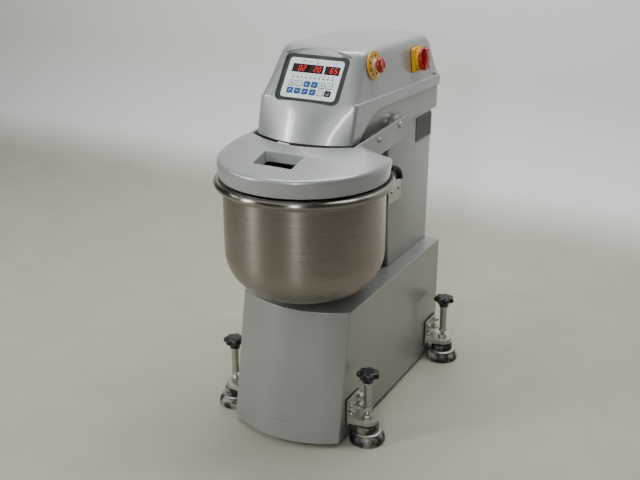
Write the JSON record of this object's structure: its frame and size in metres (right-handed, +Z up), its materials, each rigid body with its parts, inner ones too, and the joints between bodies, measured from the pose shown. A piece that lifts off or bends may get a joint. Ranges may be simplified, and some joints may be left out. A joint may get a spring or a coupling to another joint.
{
  "type": "spiral dough mixer",
  "caption": "Floor-standing spiral dough mixer with a turning stainless bowl, hinged lid, tilted key panel, side switches and screw feet.",
  "frame": {"origin": "on the floor, at the middle of the bounding box", "axes": "+Z up, -Y towards the bowl and the operator, +X to the right when facing the panel"},
  "size_m": [0.458, 0.7246, 0.9085],
  "materials": {
    "silver_paint": "silver metallic paint",
    "stainless": "brushed stainless steel",
    "zinc_plate": "zinc-plated steel",
    "black_plastic": "satin black plastic",
    "black_rubber": "matt black rubber",
    "white_film": "satin polyester film",
    "blue_film": "satin blue film",
    "dark_window": "smoked red window",
    "yellow_plastic": "yellow plastic",
    "red_plastic": "red plastic",
    "cream_plastic": "cream plastic",
    "cast_iron": "grey painted castings",
    "green_board": "green circuit board"
  },
  "bodies": {
    "machine": {"base_housing": "silver_paint", "base_chassis": "cast_iron", "column_housing": "silver_paint", "vent_grille": "black_plastic", "contactor_panel": "zinc_plate", "head_casing": "silver_paint", "head_cover": "silver_paint", "head_underplate": "stainless", "control_bezel": "black_plastic", "keypad_membrane": "white_film", "display_times": "dark_window", "display_level": "dark_window", "control_board": "green_board", "estop_plate": "yellow_plastic", "estop_collar": "cream_plastic", "switch_plate": "yellow_plastic", "hinge_shaft": "zinc_plate", "bowl_bearing_housing": "cast_iron", "bowl_motor": "cast_iron", "bowl_belt": "black_rubber", "hook_bearing_housing": "cast_iron", "hook_motor": "cast_iron", "hook_belt": "black_rubber", "breaker_bar": "stainless", "foot_bracket_front_right": "zinc_plate", "foot_bracket_front_left": "zinc_plate", "foot_bracket_rear_right": "zinc_plate", "foot_bracket_rear_left": "zinc_plate"},
    "lid": {"lid_shell": "silver_paint"},
    "bowl_set": {"bowl": "stainless", "bowl_hub": "cast_iron", "bowl_pulley": "cast_iron"},
    "bowl_driver": {"bowl_motor_pulley": "zinc_plate"},
    "hook_set": {"dough_hook": "stainless", "hook_shaft": "zinc_plate", "hook_pulley": "cast_iron"},
    "hook_driver": {"hook_motor_pulley": "zinc_plate"},
    "estop_plunger": {"estop_stem": "black_plastic"},
    "estop_head": {"estop_button": "red_plastic"},
    "main_switch": {"switch_knob": "red_plastic"},
    "key_01_cap": {"key_01": "white_film"},
    "key_02_cap": {"key_02": "white_film"},
    "key_03_cap": {"key_03": "blue_film"},
    "key_04_cap": {"key_04": "blue_film"},
    "key_05_cap": {"key_05": "white_film"},
    "key_06_cap": {"key_06": "white_film"},
    "key_07_cap": {"key_07": "blue_film"},
    "key_08_cap": {"key_08": "blue_film"},
    "key_09_cap": {"key_09": "blue_film"},
    "key_10_cap": {"key_10": "blue_film"},
    "key_11_cap": {"key_11": "white_film"},
    "key_12_cap": {"key_12": "black_plastic"},
    "pad_front_right": {"foot_pad_front_right": "black_rubber"},
    "spindle_front_right": {"foot_spindle_front_right": "zinc_plate"},
    "pad_front_left": {"foot_pad_front_left": "black_rubber"},
    "spindle_front_left": {"foot_spindle_front_left": "zinc_plate"},
    "pad_rear_right": {"foot_pad_rear_right": "black_rubber"},
    "spindle_rear_right": {"foot_spindle_rear_right": "zinc_plate"},
    "pad_rear_left": {"foot_pad_rear_left": "black_rubber"},
    "spindle_rear_left": {"foot_spindle_rear_left": "zinc_plate"}
  },
  "joints": [
    {"name": "lid_hinge", "type": "hinge", "parent": "machine", "child": "lid", "pos_m": [0, 0.06575, 0.713], "axis": [-1, 0, 0], "range_deg": [0, 45]},
    {"name": "bowl_spin", "type": "hinge", "parent": "machine", "child": "bowl_set", "pos_m": [0, -0.15425, 0.354], "axis": [0, 0, 1], "continuous": true},
    {"name": "bowl_motor_spin", "type": "hinge", "parent": "machine", "child": "bowl_driver", "pos_m": [0, 0.08075, 0.2], "axis": [0, 0, 1], "continuous": true},
    {"name": "hook_spin", "type": "hinge", "parent": "machine", "child": "hook_set", "pos_m": [0, -0.05425, 0.66], "axis": [0, 0, 1], "continuous": true},
    {"name": "hook_motor_spin", "type": "hinge", "parent": "machine", "child": "hook_driver", "pos_m": [0, 0.20575, 0.7], "axis": [0, 0, 1], "continuous": true},
    {"name": "estop_push", "type": "slide", "parent": "machine", "child": "estop_plunger", "axis": [-0.9941, 0, -0.1082], "range_m": [0, 0.0045]},
    {"name": "estop_twist", "type": "hinge", "parent": "estop_plunger", "child": "estop_head", "pos_m": [0.11356, -0.03925, 0.87001], "axis": [-0.9941, 0, -0.1082], "range_deg": [0, 40], "stiffness_Nm_per_rad": 0.02},
    {"name": "switch_turn", "type": "hinge", "parent": "machine", "child": "main_switch", "pos_m": [0.11525, 0.20275, 0.84472], "axis": [-0.9953, 0, -0.0968], "range_deg": [0, 90]},
    {"name": "key_01_press", "type": "slide", "parent": "machine", "child": "key_01_cap", "axis": [0, 0.8141, -0.5807], "range_m": [0, 0.0004], "stiffness_N_per_m": 500},
    {"name": "key_02_press", "type": "slide", "parent": "machine", "child": "key_02_cap", "axis": [0, 0.8141, -0.5807], "range_m": [0, 0.0004], "stiffness_N_per_m": 500},
    {"name": "key_03_press", "type": "slide", "parent": "machine", "child": "key_03_cap", "axis": [0, 0.8141, -0.5807], "range_m": [0, 0.0004], "stiffness_N_per_m": 500},
    {"name": "key_04_press", "type": "slide", "parent": "machine", "child": "key_04_cap", "axis": [0, 0.8141, -0.5807], "range_m": [0, 0.0004], "stiffness_N_per_m": 500},
    {"name": "key_05_press", "type": "slide", "parent": "machine", "child": "key_05_cap", "axis": [0, 0.8141, -0.5807], "range_m": [0, 0.0004], "stiffness_N_per_m": 500},
    {"name": "key_06_press", "type": "slide", "parent": "machine", "child": "key_06_cap", "axis": [0, 0.8141, -0.5807], "range_m": [0, 0.0004], "stiffness_N_per_m": 500},
    {"name": "key_07_press", "type": "slide", "parent": "machine", "child": "key_07_cap", "axis": [0, 0.8141, -0.5807], "range_m": [0, 0.0004], "stiffness_N_per_m": 500},
    {"name": "key_08_press", "type": "slide", "parent": "machine", "child": "key_08_cap", "axis": [0, 0.8141, -0.5807], "range_m": [0, 0.0004], "stiffness_N_per_m": 500},
    {"name": "key_09_press", "type": "slide", "parent": "machine", "child": "key_09_cap", "axis": [0, 0.8141, -0.5807], "range_m": [0, 0.0004], "stiffness_N_per_m": 500},
    {"name": "key_10_press", "type": "slide", "parent": "machine", "child": "key_10_cap", "axis": [0, 0.8141, -0.5807], "range_m": [0, 0.0004], "stiffness_N_per_m": 500},
    {"name": "key_11_press", "type": "slide", "parent": "machine", "child": "key_11_cap", "axis": [0, 0.8141, -0.5807], "range_m": [0, 0.0004], "stiffness_N_per_m": 500},
    {"name": "key_12_press", "type": "slide", "parent": "machine", "child": "key_12_cap", "axis": [0, 0.8141, -0.5807], "range_m": [0, 0.0004], "stiffness_N_per_m": 500},
    {"name": "foot_front_right_travel", "type": "slide", "parent": "machine", "child": "pad_front_right", "axis": [0, 0, -1], "range_m": [0, 0.01]},
    {"name": "foot_front_right_turn", "type": "hinge", "parent": "pad_front_right", "child": "spindle_front_right", "pos_m": [0.186, -0.18625, 0.1], "axis": [0, 0, -1], "range_deg": [0, 2059]},
    {"name": "foot_front_left_travel", "type": "slide", "parent": "machine", "child": "pad_front_left", "axis": [0, 0, -1], "range_m": [0, 0.01]},
    {"name": "foot_front_left_turn", "type": "hinge", "parent": "pad_front_left", "child": "spindle_front_left", "pos_m": [-0.186, -0.18625, 0.1], "axis": [0, 0, -1], "range_deg": [0, 2059]},
    {"name": "foot_rear_right_travel", "type": "slide", "parent": "machine", "child": "pad_rear_right", "axis": [0, 0, -1], "range_m": [0, 0.01]},
    {"name": "foot_rear_right_turn", "type": "hinge", "parent": "pad_rear_right", "child": "spindle_rear_right", "pos_m": [0.186, 0.29275, 0.1], "axis": [0, 0, -1], "range_deg": [0, 2059]},
    {"name": "foot_rear_left_travel", "type": "slide", "parent": "machine", "child": "pad_rear_left", "axis": [0, 0, -1], "range_m": [0, 0.01]},
    {"name": "foot_rear_left_turn", "type": "hinge", "parent": "pad_rear_left", "child": "spindle_rear_left", "pos_m": [-0.186, 0.29275, 0.1], "axis": [0, 0, -1], "range_deg": [0, 2059]}
  ],
  "couplings": [
    {"joint": "bowl_motor_spin", "follows": "bowl_spin", "ratio": 3.5},
    {"joint": "hook_motor_spin", "follows": "hook_spin", "ratio": 4},
    {"joint": "foot_front_right_turn", "follows": "foot_front_right_travel", "rad_per_m": 3590.4},
    {"joint": "foot_front_left_turn", "follows": "foot_front_left_travel", "rad_per_m": 3590.4},
    {"joint": "foot_rear_right_turn", "follows": "foot_rear_right_travel", "rad_per_m": 3590.4},
    {"joint": "foot_rear_left_turn", "follows": "foot_rear_left_travel", "rad_per_m": 3590.4}
  ]
}
